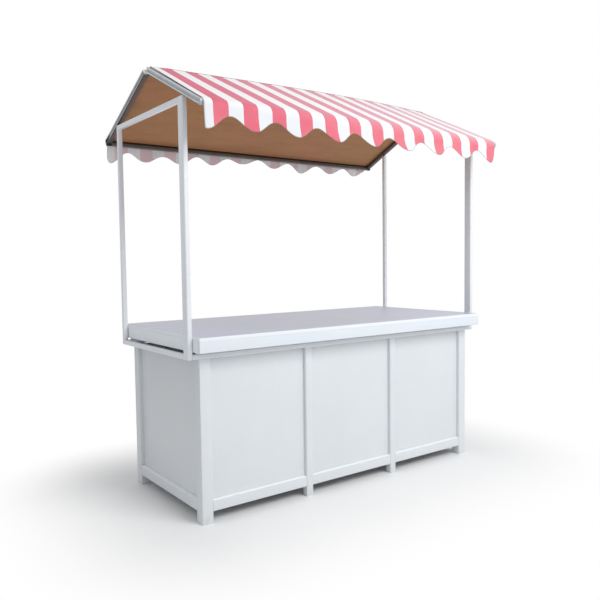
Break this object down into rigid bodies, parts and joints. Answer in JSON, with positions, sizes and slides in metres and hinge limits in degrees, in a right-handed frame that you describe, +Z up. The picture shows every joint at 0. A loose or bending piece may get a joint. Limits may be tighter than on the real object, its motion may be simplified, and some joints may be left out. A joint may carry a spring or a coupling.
{
  "type": "wooden market stall",
  "caption": "Free-standing market stall: panelled timber base on legs, deep counter, and a tube frame with a gable roof under a striped scalloped cover.",
  "frame": {"origin": "on the ground, at the middle of the stall's plan", "axes": "+Z up, X along the counter, -Y towards the serving front"},
  "size_m": [2.064, 1.19, 2.2691],
  "materials": {
    "painted_wood": "satin white paint over timber and board",
    "counter_top": "smooth pale grey semi-gloss coating on board",
    "painted_tube": "white paint on square steel tube",
    "edge_trim": "dull rolled metal",
    "eave_trim": "dark weathered metal",
    "roof_board": "bare brown board",
    "cover_cloth": "red and white striped awning cloth"
  },
  "bodies": {
    "root": {"front_left_leg": "painted_wood", "front_right_leg": "painted_wood", "back_left_leg": "painted_wood", "back_right_leg": "painted_wood", "front_middle_legs": "painted_wood", "back_middle_legs": "painted_wood", "front_bottom_rails": "painted_wood", "back_bottom_rails": "painted_wood", "left_bottom_rail": "painted_wood", "right_bottom_rail": "painted_wood", "front_left_panel": "painted_wood", "front_middle_panel": "painted_wood", "front_right_panel": "painted_wood", "back_left_panel": "painted_wood", "back_middle_panel": "painted_wood", "back_right_panel": "painted_wood", "left_panel": "painted_wood", "right_panel": "painted_wood", "counter_bearers": "painted_wood", "long_fascias": "painted_wood", "end_fascias": "painted_wood", "counter_board": "counter_top", "front_collar_rail": "painted_tube", "back_collar_rail": "painted_tube", "left_collar_rail": "painted_tube", "right_collar_rail": "painted_tube", "front_left_post": "painted_tube", "front_right_post": "painted_tube", "back_left_post": "painted_tube", "back_right_post": "painted_tube", "left_top_rail": "painted_tube", "front_left_rake": "edge_trim", "front_right_rake": "edge_trim", "back_left_rake": "edge_trim", "back_right_rake": "edge_trim", "ridge_bar": "edge_trim", "front_eave_bar": "eave_trim", "back_eave_bar": "eave_trim", "front_roof_board": "roof_board", "back_roof_board": "roof_board", "front_cover": "cover_cloth", "back_cover": "cover_cloth", "front_valance": "cover_cloth", "back_valance": "cover_cloth"}
  },
  "joints": []
}
